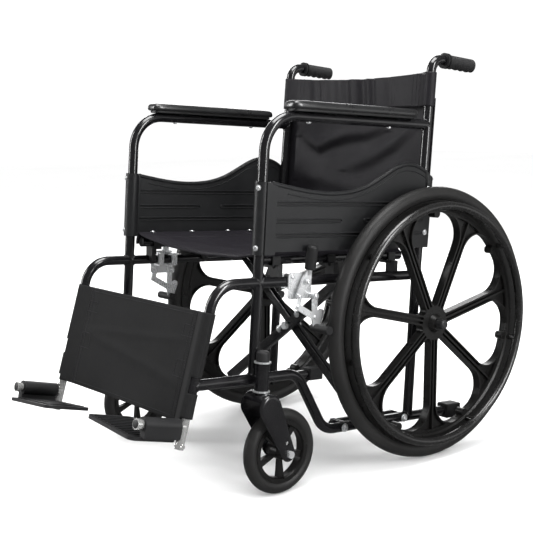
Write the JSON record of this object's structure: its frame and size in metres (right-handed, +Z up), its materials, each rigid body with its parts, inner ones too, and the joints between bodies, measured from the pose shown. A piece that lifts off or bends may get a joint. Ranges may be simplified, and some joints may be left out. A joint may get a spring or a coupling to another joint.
{
  "type": "manual wheelchair",
  "caption": "Folding self-propelled wheelchair with a cross brace, fixed arms, nylon slings, swivelling castors, spoked rear wheels with handrims and flip-up footplates.",
  "frame": {"origin": "on the ground, at the middle of the bounding box", "axes": "+Z up, the chair faces -Y, +X towards the sitter's left; the rear axle is at y = 0.2319 m"},
  "size_m": [0.689, 1.0738, 0.9047],
  "materials": {
    "frame_paint": "gloss black powder coat",
    "zinc": "bright zinc plate",
    "chrome_tube": "bright plated tube",
    "grip_rubber": "matte ribbed rubber",
    "guard_plastic": "fine-grained moulded plastic",
    "plate_plastic": "moulded plastic",
    "wheel_plastic": "satin moulded nylon",
    "tyre_rubber": "matte solid tyre",
    "nylon": "coated nylon weave",
    "pad_vinyl": "soft textured foam skin"
  },
  "bodies": {
    "left_frame": {"arm_pad_left": "pad_vinyl", "arm_tube_left": "frame_paint", "back_post_left": "frame_paint", "back_sling": "nylon", "brake_plate_left": "zinc", "calf_panel": "nylon", "castor_bearings_left": "zinc", "castor_housing_left": "frame_paint", "guard_clip_left": "guard_plastic", "hanger_left": "frame_paint", "hinge_brackets_left": "frame_paint", "lower_rail_left": "frame_paint", "push_grip_left": "grip_rubber", "rear_axle_left": "zinc", "seat_saddles_left": "guard_plastic", "skirt_guard_left": "guard_plastic", "tip_cap_left": "grip_rubber", "upper_rail_left": "frame_paint"},
    "right_frame": {"arm_pad_right": "pad_vinyl", "arm_tube_right": "frame_paint", "back_post_right": "frame_paint", "brake_plate_right": "zinc", "castor_bearings_right": "zinc", "castor_housing_right": "frame_paint", "guard_clip_right": "guard_plastic", "hanger_right": "frame_paint", "hinge_brackets_right": "frame_paint", "lower_rail_right": "frame_paint", "push_grip_right": "grip_rubber", "rear_axle_right": "zinc", "seat_saddles_right": "guard_plastic", "skirt_guard_right": "guard_plastic", "tip_cap_right": "grip_rubber", "upper_rail_right": "frame_paint"},
    "brace_front": {"cross_brace_front": "frame_paint"},
    "brace_rear": {"cross_brace_rear": "frame_paint", "brace_pivot_bolt": "zinc", "seat_sling": "nylon"},
    "rear_wheel_left": {"handrim_left": "wheel_plastic", "rear_tyre_left": "tyre_rubber", "rear_wheel_left": "wheel_plastic"},
    "castor_fork_left": {"castor_axle_left": "zinc", "castor_fork_left": "frame_paint"},
    "castor_wheel_left": {"castor_tyre_left": "tyre_rubber", "castor_wheel_left": "wheel_plastic"},
    "brake_lever_left": {"brake_lever_left": "zinc"},
    "brake_arm_left": {"brake_arm_left": "zinc"},
    "footrest_left": {"footrest_tube_left": "chrome_tube"},
    "footplate_left": {"footplate_left": "plate_plastic"},
    "rear_wheel_right": {"handrim_right": "wheel_plastic", "rear_tyre_right": "tyre_rubber", "rear_wheel_right": "wheel_plastic"},
    "castor_fork_right": {"castor_axle_right": "zinc", "castor_fork_right": "frame_paint"},
    "castor_wheel_right": {"castor_tyre_right": "tyre_rubber", "castor_wheel_right": "wheel_plastic"},
    "brake_lever_right": {"brake_lever_right": "zinc"},
    "brake_arm_right": {"brake_arm_right": "zinc"},
    "footrest_right": {"footrest_tube_right": "chrome_tube"},
    "footplate_right": {"footplate_right": "plate_plastic"}
  },
  "joints": [
    {"name": "fold", "type": "hinge", "parent": "left_frame", "child": "brace_rear", "pos_m": [0.2235, 0.06195, 0.09353], "axis": [0, 0.9979, -0.0645], "range_deg": [0, 36], "deforming": ["back_sling", "calf_panel", "seat_sling"]},
    {"name": "brace_cross", "type": "hinge", "parent": "brace_rear", "child": "brace_front", "pos_m": [0, 0.07386, 0.27764], "axis": [0, 0.9979, -0.0645], "range_deg": [-73, 1]},
    {"name": "fold_right", "type": "hinge", "parent": "brace_front", "child": "right_frame", "pos_m": [-0.2235, 0.06195, 0.09353], "axis": [0, 0.9979, -0.0645], "range_deg": [-1, 37]},
    {"name": "rear_wheel_spin_left", "type": "hinge", "parent": "left_frame", "child": "rear_wheel_left", "pos_m": [0.302, 0.23195, 0.305], "axis": [1, 0, 0], "continuous": true},
    {"name": "castor_swivel_left", "type": "hinge", "parent": "left_frame", "child": "castor_fork_left", "pos_m": [0.276, -0.23544, 0.22299], "axis": [0, 0.0837, 0.9965], "continuous": true},
    {"name": "castor_spin_left", "type": "hinge", "parent": "castor_fork_left", "child": "castor_wheel_left", "pos_m": [0.276, -0.19205, 0.089], "axis": [1, 0, 0], "continuous": true},
    {"name": "brake_left", "type": "hinge", "parent": "left_frame", "child": "brake_lever_left", "pos_m": [0.2585, -0.10861, 0.43124], "axis": [1, 0, 0], "range_deg": [0, 48]},
    {"name": "brake_shoe_left", "type": "hinge", "parent": "left_frame", "child": "brake_arm_left", "pos_m": [0.2585, -0.0881, 0.39825], "axis": [1, 0, 0], "range_deg": [-17, 1]},
    {"name": "footrest_height_left", "type": "slide", "parent": "left_frame", "child": "footrest_left", "axis": [0, 0.2957, 0.9553], "range_m": [-0.06, 0.004]},
    {"name": "footplate_flip_left", "type": "hinge", "parent": "footrest_left", "child": "footplate_left", "pos_m": [0.247, -0.40534, 0.17369], "axis": [0, 0.9724, -0.2334], "range_deg": [-1, 89.2]},
    {"name": "rear_wheel_spin_right", "type": "hinge", "parent": "right_frame", "child": "rear_wheel_right", "pos_m": [-0.302, 0.23195, 0.305], "axis": [1, 0, 0], "continuous": true},
    {"name": "castor_swivel_right", "type": "hinge", "parent": "right_frame", "child": "castor_fork_right", "pos_m": [-0.276, -0.23544, 0.22299], "axis": [0, 0.0837, 0.9965], "continuous": true},
    {"name": "castor_spin_right", "type": "hinge", "parent": "castor_fork_right", "child": "castor_wheel_right", "pos_m": [-0.276, -0.19205, 0.089], "axis": [1, 0, 0], "continuous": true},
    {"name": "brake_right", "type": "hinge", "parent": "right_frame", "child": "brake_lever_right", "pos_m": [-0.2585, -0.10861, 0.43124], "axis": [1, 0, 0], "range_deg": [0, 48]},
    {"name": "brake_shoe_right", "type": "hinge", "parent": "right_frame", "child": "brake_arm_right", "pos_m": [-0.2585, -0.0881, 0.39825], "axis": [1, 0, 0], "range_deg": [-17, 1]},
    {"name": "footrest_height_right", "type": "slide", "parent": "right_frame", "child": "footrest_right", "axis": [0, 0.2957, 0.9553], "range_m": [-0.06, 0.004]},
    {"name": "footplate_flip_right", "type": "hinge", "parent": "footrest_right", "child": "footplate_right", "pos_m": [-0.247, -0.41126, 0.15458], "axis": [0, -0.9724, 0.2334], "range_deg": [-1, 89.2]}
  ],
  "couplings": [
    {"joint": "brace_cross", "follows": "fold", "ratio": -2},
    {"joint": "fold_right", "follows": "fold", "ratio": 1},
    {"joint": "brake_shoe_left", "follows": "brake_left", "ratio": -0.33333},
    {"joint": "footplate_flip_left", "follows": "fold", "ratio": 2.45},
    {"joint": "brake_shoe_right", "follows": "brake_right", "ratio": -0.33333},
    {"joint": "footplate_flip_right", "follows": "fold", "ratio": 2.45}
  ]
}
